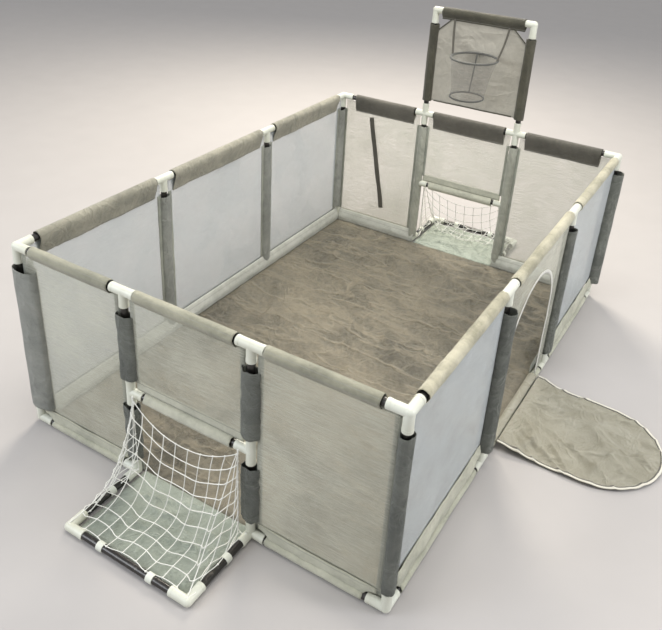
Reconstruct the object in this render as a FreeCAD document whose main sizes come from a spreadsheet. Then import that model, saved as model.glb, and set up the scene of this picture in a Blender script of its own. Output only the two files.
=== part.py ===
import FreeCAD, Part
import math
import os
import re
import Sketcher

# A free-standing playpen of plug-together steel tubes in white plastic pipe fittings, with
# fabric walls, a goal with a net in each short side, a backboard with a hoop over one goal
# and a door flap that a zip closes. +X is the side with the door, -Y the front goal, +Z up.
# The origin is on the floor, in the middle of the mat.

os.makedirs("parts", exist_ok=True)
doc = FreeCAD.newDocument("playpen")

SIZES = {
    # bays between the uprights, and the heights of the tube axes above the lower tubes' axis
    "bay_x": 420,
    "bay_y": 622,
    "rise": 625,
    "bar_rise": 293,
    "board_rise": 1077,
    "goal_depth": 265,
    # steel tube and the fittings that it plugs into
    "tube_r": 11,
    "tube_wall": 0.6,
    "bore_r": 11.2,
    "barrel_r": 13.6,
    "collar_r": 14.25,
    "collar_run": 9,
    "ball_r": 14,
    "lip": 1.2,
    "stop": 16,
    "corner_arm": 54,
    "tee_arm": 42,
    "tee_stem": 48,
    "elbow_arm": 56,
    # sewn fabric
    "sleeve_r": 17,
    "low_sleeve_r": 13.5,
    "post_sleeve_r": 20,
    "cloth": 1.5,
    "bare": 11,
    "top_band": 42,
    "low_band": 30,
    "seam_gap": 0.6,
    "mat_thick": 3,
    "mat_inset": 17,
    # door
    "door_half": 212,
    "door_spring": 315,
    "flap_half": 207,
    "flap_straight": 266,
    "sill_z": 29,
    "hinge_x": 18.2,
    # goal nets
    "net_thick": 3,
    "clip_wall": 2.6,
    "clip_run": 20,
    "clip_mouth": 15,
    # backboard and hoop
    "screen_run": 386,
    "hoop_z": 945,
    "hoop_out": 101,
    "hoop_x": 20,
    "hoop_r": 94,
    "hoop_wire": 4,
    "low_hoop_z": 783,
    "low_hoop_x": 8,
    "low_hoop_r": 69,
    "low_hoop_wire": 3,
    "strap_wide": 16,
    "strap_thick": 2,
    # strap that hangs inside the back wall
    "hang_x": -458,
    "hang_z": 568,
    "hang_run": 445,
    "hang_wide": 24,
    # zip slider
    "slider_wide": 9,
    "slider_tall": 13,
    "slider_thick": 6,
    "pull_wide": 7,
    "pull_tall": 24,
    "pull_thick": 2,
}

sizes = doc.addObject("Spreadsheet::Sheet", "sizes")
for row, (alias, number) in enumerate(SIZES.items(), start=1):
    sizes.set(f"A{row}", alias)
    sizes.set(f"B{row}", str(number))
    sizes.setAlias(f"B{row}", alias)
doc.recompute()

# places worked out from the sheet, as expressions
LOW = "collar_r"
HIGH = "(collar_r + rise)"
BAR = "(collar_r + bar_rise)"
BOARD = "(collar_r + board_rise)"
SIDE_X = "(1.5 * bay_x)"
SIDE_Y = "(1.5 * bay_y)"
GOAL_X = "(0.5 * bay_x)"
POST_Y = "(0.5 * bay_y)"
GOAL_Y = "(1.5 * bay_y + goal_depth)"
SCREEN_FOOT = "(collar_r + board_rise - screen_run)"

WAYS = {
    "+X": (1, 0, 0),
    "-X": (-1, 0, 0),
    "+Y": (0, 1, 0),
    "-Y": (0, -1, 0),
    "+Z": (0, 0, 1),
    "-Z": (0, 0, -1),
}
OPPOSITE = {"+X": "-X", "-X": "+X", "+Y": "-Y", "-Y": "+Y", "+Z": "-Z", "-Z": "+Z"}
nodes = []


def bound(text):
    """The expression with each alias read from the sheet."""
    return re.sub(r"[a-z_]+", lambda word: "sizes." + word[0] if word[0] in SIZES else word[0], text)


def bind(item, **expressions):
    for name, text in expressions.items():
        item.setExpression(name.replace("_at_", "."), bound(text))
    return item


def put(item, x, y, z, turn=None):
    """Places an object at bound coordinates, turned by a Rotation."""
    if turn is not None:
        item.Placement = FreeCAD.Placement(FreeCAD.Vector(0, 0, 0), turn)
    for axis, text in zip("xyz", (x, y, z)):
        item.setExpression("Placement.Base." + axis, bound(text))
    return item


def facing(way):
    """The turn that takes +Z to one of the six ways."""
    return FreeCAD.Rotation(FreeCAD.Vector(0, 0, 1), FreeCAD.Vector(*WAYS[way]))


def moved(centre, way, run):
    """A bound point, run further along one of the six ways."""
    return tuple(f"{c} + {w} * ({run})" if w else c for c, w in zip(centre, WAYS[way]))


def node(name, members):
    """Names a finished sub-part, gathering its separate solids if it has several."""
    if len(members) == 1:
        whole = members[0]
    else:
        whole = doc.addObject("Part::Compound", name)
        whole.Links = members
    whole.Label = name
    nodes.append(whole)
    return whole


def rod(radius, run, centre, way):
    item = doc.addObject("Part::Cylinder", "rod")
    bind(item, Radius=radius, Height=run)
    return put(item, *centre, facing(way))


def cut(base, tool):
    item = doc.addObject("Part::Cut", "cut")
    item.Base = base
    item.Tool = tool
    return item


def fuse(members):
    item = doc.addObject("Part::MultiFuse", "fuse")
    item.Shapes = members
    return item


# Plastic fittings: a barrel for each arm, with a collar and an eased lip at its mouth, round a
# ball at the centre, and a blind socket in each arm.
def fitting(centre, arms):
    ball = bind(doc.addObject("Part::Sphere", "ball"), Radius="ball_r")
    put(ball, *centre, facing(arms[0][0]))
    outside = [ball]
    sockets = []
    for way, reach in arms:
        outside.append(rod("barrel_r", f"{reach} - lip", centre, way))
        collar_start = moved(centre, way, f"{reach} - lip - collar_run")
        outside.append(rod("collar_r", "collar_run", collar_start, way))
        lip = doc.addObject("Part::Cone", "lip")
        bind(lip, Radius1="collar_r", Radius2="collar_r - 0.6 * lip", Height="lip")
        outside.append(put(lip, *moved(centre, way, f"{reach} - lip"), facing(way)))
        sockets.append(rod("bore_r", reach, moved(centre, way, "stop"), way))
    return cut(fuse(outside), fuse(sockets))


# Tubes: plain steel, open at both ends, run from socket stop to socket stop.
def tube(start, way, run):
    play = 0.5
    begin = moved(start, way, f"stop + {play}")
    length = f"{run} - 2 * stop - {2 * play}"
    return cut(rod("tube_r", length, begin, way), rod("tube_r - tube_wall", length, begin, way))


# Sleeves: fabric tubes round the steel ones, open at both ends.
def sleeve(radius, start, way, first, last):
    begin = moved(start, way, first)
    length = f"{last} - ({first})"
    return cut(rod(radius, length, begin, way), rod(f"{radius} - cloth", length, begin, way))


def slab(low, high):
    """A flat cloth panel between two bound corners."""
    item = doc.addObject("Part::Box", "slab")
    spans = [f"{b} - ({a})" for a, b in zip(low, high)]
    bind(item, Length=spans[0], Width=spans[1], Height=spans[2])
    return put(item, *low)


ENDS = (("front", "-", "-Y"), ("back", "", "+Y"))
SIDES = (("left", "-", "-X"), ("right", "", "+X"))

# --- fittings -----------------------------------------------------------------------------
for end, end_sign, end_way in ENDS:
    for side, side_sign, side_way in SIDES:
        inward = ((OPPOSITE[side_way], "corner_arm"), (OPPOSITE[end_way], "corner_arm"))
        for level, height, post_way in (("top", HIGH, "-Z"), ("bottom", LOW, "+Z")):
            centre = (side_sign + SIDE_X, end_sign + SIDE_Y, height)
            corner = fitting(centre, inward + ((post_way, "corner_arm"),))
            node(f"{level}_corner_{end}_{side}", [corner])

ACROSS = (("+X", "tee_arm"), ("-X", "tee_arm"))
ALONG = (("+Y", "tee_arm"), ("-Y", "tee_arm"))
node(
    "front_top_tees",
    [fitting((s + GOAL_X, "-" + SIDE_Y, HIGH), ACROSS + (("-Z", "tee_stem"),)) for s in "-+"],
)
crossing = ACROSS + (("-Z", "tee_stem"), ("+Z", "tee_stem"))
node("back_top_crosses", [fitting((s + GOAL_X, SIDE_Y, HIGH), crossing) for s in "-+"])
for level, height, post_way in (("top", HIGH, "-Z"), ("bottom", LOW, "+Z")):
    tees = []
    for _, side_sign, _ in SIDES:
        for along in "-+":
            centre = (side_sign + SIDE_X, along + POST_Y, height)
            tees.append(fitting(centre, ALONG + ((post_way, "tee_stem"),)))
    node(f"side_{level}_tees", tees)

feet = []
elbows = []
for end, end_sign, end_way in ENDS:
    bar_tees = []
    for side, side_sign, side_way in SIDES:
        x = side_sign + GOAL_X
        y = end_sign + SIDE_Y
        foot_arms = (("+Z", "tee_stem"), (end_way, "tee_stem"), (side_way, "tee_stem"))
        feet.append(fitting((x, y, LOW), foot_arms))
        bar_arms = (("+Z", "tee_arm"), ("-Z", "tee_arm"), (OPPOSITE[side_way], "tee_stem"))
        bar_tees.append(fitting((x, y, BAR), bar_arms))
        elbow_arms = ((OPPOSITE[side_way], "elbow_arm"), (OPPOSITE[end_way], "elbow_arm"))
        elbows.append(fitting((x, end_sign + GOAL_Y, LOW), elbow_arms))
    node(f"{end}_crossbar_tees", bar_tees)
node("goal_feet", feet)
node("goal_elbows", elbows)
node(
    "backboard_elbows",
    [
        fitting((sign + GOAL_X, SIDE_Y, BOARD), ((way, "corner_arm"), ("-Z", "corner_arm")))
        for sign, way in (("-", "+X"), ("+", "-X"))
    ],
)

# --- tubes --------------------------------------------------------------------------------
BAYS_X = ("-1.5 * bay_x", "-0.5 * bay_x", "0.5 * bay_x")
BAYS_Y = ("-1.5 * bay_y", "-0.5 * bay_y", "0.5 * bay_y")
for end, end_sign, end_way in ENDS:
    y = end_sign + SIDE_Y
    node(f"{end}_top_rails", [tube((x, y, HIGH), "+X", "bay_x") for x in BAYS_X])
    node(f"{end}_bottom_rails", [tube((x, y, LOW), "+X", "bay_x") for x in BAYS_X[::2]])
    node(f"{end}_crossbar", [tube(("-" + GOAL_X, y, BAR), "+X", "bay_x")])
    posts = []
    for _, side_sign, _ in SIDES:
        x = side_sign + GOAL_X
        posts.append(tube((x, y, LOW), "+Z", "bar_rise"))
        posts.append(tube((x, y, BAR), "+Z", "rise - bar_rise"))
    node(f"{end}_goal_posts", posts)
    hoop = [tube((s + GOAL_X, y, LOW), end_way, "goal_depth") for s in "-+"]
    hoop.append(tube(("-" + GOAL_X, end_sign + GOAL_Y, LOW), "+X", "bay_x"))
    node(f"{end}_goal_tubes", hoop)
for side, side_sign, _ in SIDES:
    x = side_sign + SIDE_X
    node(f"{side}_top_rails", [tube((x, y, HIGH), "+Y", "bay_y") for y in BAYS_Y])
    node(f"{side}_bottom_rails", [tube((x, y, LOW), "+Y", "bay_y") for y in BAYS_Y])
node("corner_posts", [tube((s + SIDE_X, e + SIDE_Y, LOW), "+Z", "rise") for s in "-+" for e in "-+"])
node("side_posts", [tube((s + SIDE_X, e + POST_Y, LOW), "+Z", "rise") for s in "-+" for e in "-+"])
node(
    "backboard_uprights",
    [tube((s + GOAL_X, SIDE_Y, HIGH), "+Z", "board_rise - rise") for s in "-+"],
)
node("backboard_top_tube", [tube(("-" + GOAL_X, SIDE_Y, BOARD), "+X", "bay_x")])

# --- fabric walls ---------------------------------------------------------------------------
# Each wall has sleeves round its rails, a flat band sewn under or over each, and a mesh panel
# between the bands. The sleeves stop short of the fittings and leave a ring of tube bare.
BAND_TOP = f"({HIGH} - sleeve_r - seam_gap)"
BAND_FOOT = f"({HIGH} - sleeve_r - seam_gap - top_band)"
HEM_FOOT = f"({LOW} + collar_r + seam_gap)"
HEM_TOP = f"({LOW} + collar_r + seam_gap + low_band)"
CLEAR = "(post_sleeve_r + seam_gap)"


def wall_slab(along_x, offset, first, last, low, high, thick="cloth"):
    """A panel in a wall's plane, between two places along the wall and two heights."""
    near = f"{offset} - 0.5 * {thick}"
    far = f"{offset} + 0.5 * {thick}"
    if along_x:
        return slab((first, near, low), (last, far, high))
    return slab((near, first, low), (far, last, high))


def bay_cloth(along_x, offset, begin, span, arms, hem):
    """The sleeves and bands of one bay: (covers, mesh panels)."""
    way = "+X" if along_x else "+Y"
    place = (begin, offset) if along_x else (offset, begin)
    first_arm, last_arm = arms
    ends = (f"{first_arm} + bare", f"{span} - {last_arm} - bare")
    first = f"{begin} + {CLEAR}"
    last = f"{begin} + {span} - {CLEAR}"
    covers = [
        sleeve("sleeve_r", (*place, HIGH), way, *ends),
        wall_slab(along_x, offset, first, last, BAND_FOOT, BAND_TOP),
    ]
    if not hem:
        return covers, []
    covers.append(sleeve("low_sleeve_r", (*place, LOW), way, *ends))
    covers.append(wall_slab(along_x, offset, first, last, HEM_FOOT, HEM_TOP))
    mesh_foot = f"{HEM_TOP} + seam_gap"
    mesh_top = f"{BAND_FOOT} - seam_gap"
    return covers, [wall_slab(along_x, offset, first, last, mesh_foot, mesh_top)]


def post_sleeve(x, y, low, high):
    return sleeve("post_sleeve_r", (x, y, "0"), "+Z", low, high)


POST_LOW = f"{LOW} + corner_arm + bare"
POST_HIGH = f"{HIGH} - corner_arm - bare"
BAR_LOW = f"{BAR} - tee_arm - bare"
BAR_HIGH = f"{BAR} + tee_arm + bare"
for end, end_sign, _ in ENDS:
    y = end_sign + SIDE_Y
    covers = []
    panels = []
    bay_arms = (("corner_arm", "tee_arm"), ("tee_arm", "tee_arm"), ("tee_arm", "corner_arm"))
    for begin, arms in zip(BAYS_X, bay_arms):
        is_goal = begin == BAYS_X[1]
        sewn, mesh = bay_cloth(True, y, begin, "bay_x", arms, not is_goal)
        covers += sewn
        panels += mesh
    # the goal's bay: a sleeve and a band on the crossbar, and mesh from there up
    left, right = f"-{GOAL_X} + {CLEAR}", f"{GOAL_X} - {CLEAR}"
    covers.append(sleeve("sleeve_r", ("-" + GOAL_X, y, BAR), "+X", "tee_stem + bare", "bay_x - tee_stem - bare"))
    hem_foot = f"{BAR} + sleeve_r + seam_gap"
    covers.append(wall_slab(True, y, left, right, hem_foot, f"{hem_foot} + low_band"))
    panels.append(
        wall_slab(True, y, left, right, f"{hem_foot} + low_band + seam_gap", f"{BAND_FOOT} - seam_gap")
    )
    for sign in "-+":
        covers.append(post_sleeve(sign + GOAL_X, y, POST_LOW, BAR_LOW))
        covers.append(post_sleeve(sign + GOAL_X, y, BAR_HIGH, POST_HIGH))
    node(f"{end}_wall_cover", covers)
    node(f"{end}_mesh", panels)
for side, side_sign, _ in SIDES:
    x = side_sign + SIDE_X
    covers = []
    panels = []
    bay_arms = (("corner_arm", "tee_arm"), ("tee_arm", "tee_arm"), ("tee_arm", "corner_arm"))
    for begin, arms in zip(BAYS_Y, bay_arms):
        sewn, mesh = bay_cloth(False, x, begin, "bay_y", arms, True)
        if side == "right" and begin == BAYS_Y[1]:
            sewn.pop(3)
            sewn.pop(1)
            mesh = []
        covers += sewn
        panels += mesh
    for y in ("-" + SIDE_Y, "-" + POST_Y, POST_Y, SIDE_Y):
        covers.append(post_sleeve(x, y, POST_LOW, POST_HIGH))
    node(f"{side}_wall_cover", covers)
    node(f"{side}_mesh", panels)


# --- sewn pieces with a drawn outline -------------------------------------------------------
def plane_of(body, role):
    return next(f for f in body.Origin.OriginFeatures if f.Role == role)


def sketch_on(body, role, name):
    sketch = body.newObject("Sketcher::SketchObject", name)
    sketch.AttachmentSupport = (plane_of(body, role), [""])
    sketch.MapMode = "FlatFace"
    return sketch


def hold(sketch, kind, refs, text):
    """Adds a dimension bound to the sheet, starting at the size that the drawing has."""
    index = sketch.addConstraint(Sketcher.Constraint(kind, *refs))
    sketch.setExpression(f"Constraints[{index}]", bound(text))


def draw_arch(sketch, half, straight, foot, names):
    """An outline with a level foot, two upright legs and a half-round top."""
    point = FreeCAD.Vector
    first = sketch.GeometryCount
    left, right = -half, half
    sketch.addGeometry(Part.LineSegment(point(left, foot, 0), point(right, foot, 0)), False)
    sketch.addGeometry(Part.LineSegment(point(right, foot, 0), point(right, straight, 0)), False)
    round_top = Part.Circle(point(0, straight, 0), point(0, 0, 1), half)
    sketch.addGeometry(Part.ArcOfCircle(round_top, 0, math.pi), False)
    sketch.addGeometry(Part.LineSegment(point(left, straight, 0), point(left, foot, 0)), False)
    base, leg, top, other = first, first + 1, first + 2, first + 3
    for a, a_end, b, b_end in ((base, 2, leg, 1), (leg, 2, top, 1), (top, 2, other, 1), (other, 2, base, 1)):
        sketch.addConstraint(Sketcher.Constraint("Coincident", a, a_end, b, b_end))
    sketch.addConstraint(Sketcher.Constraint("Horizontal", base))
    sketch.addConstraint(Sketcher.Constraint("Vertical", leg))
    sketch.addConstraint(Sketcher.Constraint("Vertical", other))
    sketch.addConstraint(Sketcher.Constraint("PointOnObject", top, 3, -2))
    sketch.addConstraint(Sketcher.Constraint("Horizontal", top, 1, top, 3))
    half_name, straight_name, foot_name = names
    hold(sketch, "Radius", (top, half), half_name)
    hold(sketch, "DistanceY", (-1, 1, top, 3, straight), straight_name)
    if foot_name is None:
        sketch.addConstraint(Sketcher.Constraint("PointOnObject", base, 1, -1))
    else:
        hold(sketch, "DistanceY", (-1, 1, base, 1, foot), foot_name)


def draw_box(sketch, low, high, names):
    """A rectangle whose four sides are bound distances from the axes."""
    point = FreeCAD.Vector
    first = sketch.GeometryCount
    corners = [(low[0], low[1]), (high[0], low[1]), (high[0], high[1]), (low[0], high[1])]
    for here, there in zip(corners, corners[1:] + corners[:1]):
        sketch.addGeometry(Part.LineSegment(point(*here, 0), point(*there, 0)), False)
    for step in range(4):
        link = Sketcher.Constraint("Coincident", first + step, 2, first + (step + 1) % 4, 1)
        sketch.addConstraint(link)
        kind = "Vertical" if step % 2 else "Horizontal"
        sketch.addConstraint(Sketcher.Constraint(kind, first + step))
    hold(sketch, "DistanceX", (-1, 1, first, 1, low[0]), names[0])
    hold(sketch, "DistanceY", (-1, 1, first, 1, low[1]), names[1])
    hold(sketch, "DistanceX", (-1, 1, first + 2, 1, high[0]), names[2])
    hold(sketch, "DistanceY", (-1, 1, first + 2, 1, high[1]), names[3])


def pad(body, sketch, length):
    feature = body.newObject("PartDesign::Pad", "pad")
    feature.Profile = sketch
    feature.Length = 1
    bind(feature, Length=length)
    body.Tip = feature
    return feature


def number(text):
    """The present value of a bound expression made of sums and products of the sheet's cells."""
    doc.recompute()
    probe.setExpression("Length", bound(text) + " + 5000")
    doc.recompute()
    return probe.Length.Value - 5000


probe = doc.addObject("Part::Box", "probe")

# The door's panel fills the middle bay of the right side round an arched opening.
door_panel = doc.addObject("PartDesign::Body", "door_panel_body")
door_sketch = sketch_on(door_panel, "YZ_Plane", "door_outline")
panel_half = f"0.5 * bay_y - {CLEAR}"
panel_low = HEM_FOOT
draw_box(
    door_sketch,
    (-number(panel_half), number(panel_low)),
    (number(panel_half), number(BAND_TOP)),
    (f"-({panel_half})", panel_low, panel_half, BAND_TOP),
)
door_arch = (SIZES["door_half"], SIZES["door_spring"], number(panel_low) + 2)
draw_arch(door_sketch, *door_arch, ("door_half", "door_spring", f"{panel_low} + 2"))
pad(door_panel, door_sketch, "cloth")
put(door_panel, f"{SIDE_X} - 0.5 * cloth", "0", "0")
node("door_panel", [door_panel])

# The flap hangs from the sill, outside, and slopes down to lie along the floor.
door_flap = doc.addObject("PartDesign::Body", "door_flap_body")
flap_sketch = sketch_on(door_flap, "XY_Plane", "flap_outline")
flap_arch = (SIZES["flap_half"], SIZES["flap_straight"], 0)
draw_arch(flap_sketch, *flap_arch, ("flap_half", "flap_straight", None))
pad(door_flap, flap_sketch, "cloth")
flap_drop = number("sill_z - cloth - 1")
flap_slope = math.degrees(math.asin(flap_drop / number("flap_straight + flap_half")))
turned = FreeCAD.Rotation(FreeCAD.Vector(0, 0, 1), -90)
sloped = FreeCAD.Rotation(FreeCAD.Vector(0, 1, 0), flap_slope)
put(door_flap, f"{SIDE_X} + hinge_x", "0", "sill_z - cloth", sloped.multiply(turned))
node("door_flap", [door_flap])

# Zip slider at the foot of the opening's front leg, and the pull that swings on it.
SLIDER_Y = "-(door_half + 5)"
SLIDER_Z = "sill_z + 22"
SLIDER_X = f"{SIDE_X} + 0.5 * cloth + 0.4"
slider_body = slab(
    (SLIDER_X, f"{SLIDER_Y} - 0.5 * slider_wide", SLIDER_Z),
    (f"{SLIDER_X} + slider_thick", f"{SLIDER_Y} + 0.5 * slider_wide", f"{SLIDER_Z} + slider_tall"),
)
channel = slab(
    (f"{SLIDER_X} + 1.2", f"{SLIDER_Y} - slider_wide", f"{SLIDER_Z} - 1"),
    (f"{SLIDER_X} + 2.8", f"{SLIDER_Y} - 1", f"{SLIDER_Z} + slider_tall + 1"),
)
EYE_X = f"{SLIDER_X} + slider_thick + 1.6"
EYE_Z = f"{SLIDER_Z} + 8.5"
bridge = rod("3", "2.4", (EYE_X, f"{SLIDER_Y} - 1.2", EYE_Z), "+Y")
bridge_foot = slab(
    (f"{SLIDER_X} + slider_thick - 1", f"{SLIDER_Y} - 1.2", f"{EYE_Z} - 3"),
    (EYE_X, f"{SLIDER_Y} + 1.2", f"{EYE_Z} + 3"),
)
eye_hole = rod("1.6", "6", (EYE_X, f"{SLIDER_Y} - 3", EYE_Z), "+Y")
node("zip_slider", [cut(fuse([cut(slider_body, channel), bridge, bridge_foot]), eye_hole)])
pull_plate = slab(
    (f"{EYE_X} + 3.6", f"{SLIDER_Y} - 0.5 * pull_wide", f"{EYE_Z} - pull_tall"),
    (f"{EYE_X} + 3.6 + pull_thick", f"{SLIDER_Y} + 0.5 * pull_wide", f"{EYE_Z} - 2"),
)
pull_ears = [
    slab(
        (f"{EYE_X} - 1.1", low, f"{EYE_Z} - 5"),
        (f"{EYE_X} + 4.6", f"{low} + 1.6", f"{EYE_Z} + 1.1"),
    )
    for low in (f"{SLIDER_Y} - 3.4", f"{SLIDER_Y} + 1.8")
]
pull_pin = rod("1.1", "6.8", (EYE_X, f"{SLIDER_Y} - 3.4", EYE_Z), "+Y")
node("zip_pull", [fuse([pull_plate, *pull_ears, pull_pin])])

# --- floor ----------------------------------------------------------------------------------
mat_low = (f"-({SIDE_X} - mat_inset)", f"-({SIDE_Y} - mat_inset)", "0")
mat_high = (f"{SIDE_X} - mat_inset", f"{SIDE_Y} - mat_inset", "mat_thick")
node("floor_mat", [slab(mat_low, mat_high)])
for end, end_sign, _ in ENDS:
    near = f"{SIDE_Y} - mat_inset + seam_gap"
    far = f"{GOAL_Y} - mat_inset"
    reach = (near, far) if end == "back" else (f"-({far})", f"-({near})")
    half = f"{GOAL_X} - mat_inset"
    node(f"{end}_goal_floor", [slab((f"-({half})", reach[0], "0"), (half, reach[1], "mat_thick"))])


# --- goal nets ------------------------------------------------------------------------------
# Each net slopes from the crossbar to the tube on the floor, with a three-cornered side at
# each post. The flat solids stand for the netting.
def draw_polygon(sketch, corners, names):
    point = FreeCAD.Vector
    count = len(corners)
    for here, there in zip(corners, corners[1:] + corners[:1]):
        sketch.addGeometry(Part.LineSegment(point(*here, 0), point(*there, 0)), False)
    for step in range(count):
        sketch.addConstraint(Sketcher.Constraint("Coincident", step, 2, (step + 1) % count, 1))
        hold(sketch, "DistanceX", (-1, 1, step, 1, corners[step][0]), names[step][0])
        hold(sketch, "DistanceY", (-1, 1, step, 1, corners[step][1]), names[step][1])


NET_TOP = f"({BAR} - sleeve_r - 2)"
NET_FOOT = f"({LOW} + tube_r + 3)"
NET_NEAR = f"({SIDE_Y} + sleeve_r + 1)"
NET_FAR = f"({GOAL_Y} - 6)"
NET_HALF = f"({GOAL_X} - 21)"
for end, end_sign, end_way in ENDS:
    sign = -1 if end == "front" else 1
    flip = "-1 * " if sign < 0 else ""
    sheets = []
    slope_names = [
        (flip + NET_NEAR, NET_TOP),
        (flip + NET_FAR, NET_FOOT),
        (flip + NET_FAR, f"{NET_FOOT} + net_thick"),
        (flip + NET_NEAR, f"{NET_TOP} + net_thick"),
    ]
    side_names = [
        (flip + f"({SIDE_Y} + post_sleeve_r + 2)", f"{NET_TOP} - 12"),
        (flip + f"({SIDE_Y} + post_sleeve_r + 2)", f"{NET_FOOT} + 3"),
        (flip + f"({NET_FAR} - 16)", f"{NET_FOOT} + 3"),
    ]
    pieces = ((slope_names, f"-{NET_HALF}", f"2 * {NET_HALF}"), (side_names, f"-{NET_HALF}", "net_thick"),
              (side_names, f"{NET_HALF} - net_thick", "net_thick"))
    for names, x, run in pieces:
        body = doc.addObject("PartDesign::Body", f"{end}_net_body")
        outline = sketch_on(body, "YZ_Plane", "net_outline")
        corners = [tuple(number(text) for text in pair) for pair in names]
        draw_polygon(outline, corners, names)
        pad(body, outline, run)
        put(body, x, "0", "0")
        sheets.append(body)
    node(f"{end}_goal_net", sheets)

    # snap-on clips that hold the net's edge to the tubes, open underneath the tube's crown
    clips = []
    side_clip_y = end_sign + f"({SIDE_Y} + 0.41 * goal_depth)"
    spots = [(s + GOAL_X, side_clip_y, "+Y") for s in "-+"]
    spots += [(f"{s} 0.21 * bay_x", end_sign + GOAL_Y, "+X") for s in "-+"]
    for x, y, way in spots:
        begin = moved((x, y, LOW), way, "-0.5 * clip_run")
        ring = cut(
            rod("bore_r + clip_wall", "clip_run", begin, way),
            rod("bore_r", "clip_run", begin, way),
        )
        mouth_x, mouth_y = ("clip_mouth", "clip_run") if way == "+Y" else ("clip_run", "clip_mouth")
        mouth = slab(
            (f"{x} - 0.6 * {mouth_x}", f"{y} - 0.6 * {mouth_y}", "-5"),
            (f"{x} + 0.6 * {mouth_x}", f"{y} + 0.6 * {mouth_y}", "collar_r - 7.5"),
        )
        clips.append(cut(ring, mouth))
    node(f"{end}_net_clips", clips)

# --- backboard ------------------------------------------------------------------------------
screen_parts = [
    sleeve("sleeve_r", ("-" + GOAL_X, SIDE_Y, BOARD), "+X", "corner_arm + bare", "bay_x - corner_arm - bare")
]
for sign in "-+":
    screen_parts.append(
        sleeve("sleeve_r", (sign + GOAL_X, SIDE_Y, "0"), "+Z", SCREEN_FOOT, f"{BOARD} - corner_arm - bare")
    )
screen_half = f"{GOAL_X} - sleeve_r - seam_gap"
screen_parts.append(
    wall_slab(True, SIDE_Y, f"-({screen_half})", screen_half, SCREEN_FOOT, f"{BOARD} - sleeve_r - seam_gap")
)
node("backboard_screen", screen_parts)

# --- hoop -----------------------------------------------------------------------------------
HOOP_Y = f"({SIDE_Y} - hoop_out)"


def ring(major, wire, x, z):
    item = doc.addObject("Part::Torus", "ring")
    bind(item, Radius1=major, Radius2=wire)
    return put(item, x, HOOP_Y, z)


node("hoop_ring", [ring("hoop_r", "hoop_wire", "hoop_x", "hoop_z")])
node("hoop_lower_ring", [ring("low_hoop_r", "low_hoop_wire", "low_hoop_x", "low_hoop_z")])


def hoop_cone(inset):
    """The net tube between the rings, as a loft between two level circles."""
    circles = []
    spots = (
        (f"hoop_r - {inset}", "hoop_x", "hoop_z - hoop_wire - 0.5"),
        (f"low_hoop_r - {inset}", "low_hoop_x", "low_hoop_z + low_hoop_wire + 0.5"),
    )
    for radius, x, z in spots:
        circle = doc.addObject("Part::Circle", "hoop_circle")
        bind(circle, Radius=radius)
        put(circle, x, HOOP_Y, z)
        circles.append(circle)
    loft = doc.addObject("Part::Loft", "hoop_loft")
    loft.Sections = circles
    loft.Solid = True
    loft.Ruled = True
    return loft


node("hoop_net", [cut(hoop_cone("0"), hoop_cone("cloth"))])

# Two webbing straps go from the backboard's top sleeve down to the ring's two sides.
straps = []
for sign in (-1, 1):
    top = (sign * 125, number(f"{SIDE_Y} - 10"), number(f"{BOARD} - sleeve_r - 6"))
    foot_x = number("hoop_x") + sign * number("hoop_r")
    foot = (foot_x, number(HOOP_Y), number("hoop_z + hoop_wire + 5"))
    run = FreeCAD.Vector(*foot) - FreeCAD.Vector(*top)
    strap = doc.addObject("Part::Box", "strap")
    bind(strap, Length="strap_thick", Width="strap_wide")
    strap.Height = run.Length - 1
    down = run.normalize()
    thin = down.cross(FreeCAD.Vector(1, 0, 0)).normalize()
    broad = thin.cross(down)
    turn = FreeCAD.Rotation(thin, broad, down, "ZXY")
    start = FreeCAD.Vector(*top) - thin * (SIZES["strap_thick"] / 2) - broad * (SIZES["strap_wide"] / 2)
    strap.Placement = FreeCAD.Placement(start, turn)
    straps.append(strap)
node("hoop_straps", straps)

# --- hanging strap --------------------------------------------------------------------------
hanging = doc.addObject("Part::Box", "hanging_strap_box")
bind(hanging, Length="hang_wide", Width="strap_thick", Height="hang_run")
lean = FreeCAD.Rotation(FreeCAD.Vector(0, 1, 0), 180 - 11)
put(hanging, "hang_x", f"{SIDE_Y} - 8", "hang_z", lean)
node("hanging_strap", [hanging])

# --- checks and files -----------------------------------------------------------------------
doc.removeObject("probe")
doc.recompute()
for item in doc.Objects:
    if "Invalid" in item.State or "Error" in item.State:
        raise RuntimeError(f"{item.Label} is {item.State}")
for item in nodes:
    shape = item.Shape
    if shape.isNull() or not shape.isValid() or not shape.Solids:
        raise RuntimeError(f"{item.Label} has no valid solid")
    shape.exportStep(f"parts/{item.Label}.step")
    print(f"{item.Label}: {len(shape.Solids)} solids, {shape.Volume / 1000:.1f} cm3")
print(len(nodes), "nodes")
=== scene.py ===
import math
import bmesh
import bpy
from mathutils import Matrix, Vector, noise


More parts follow.
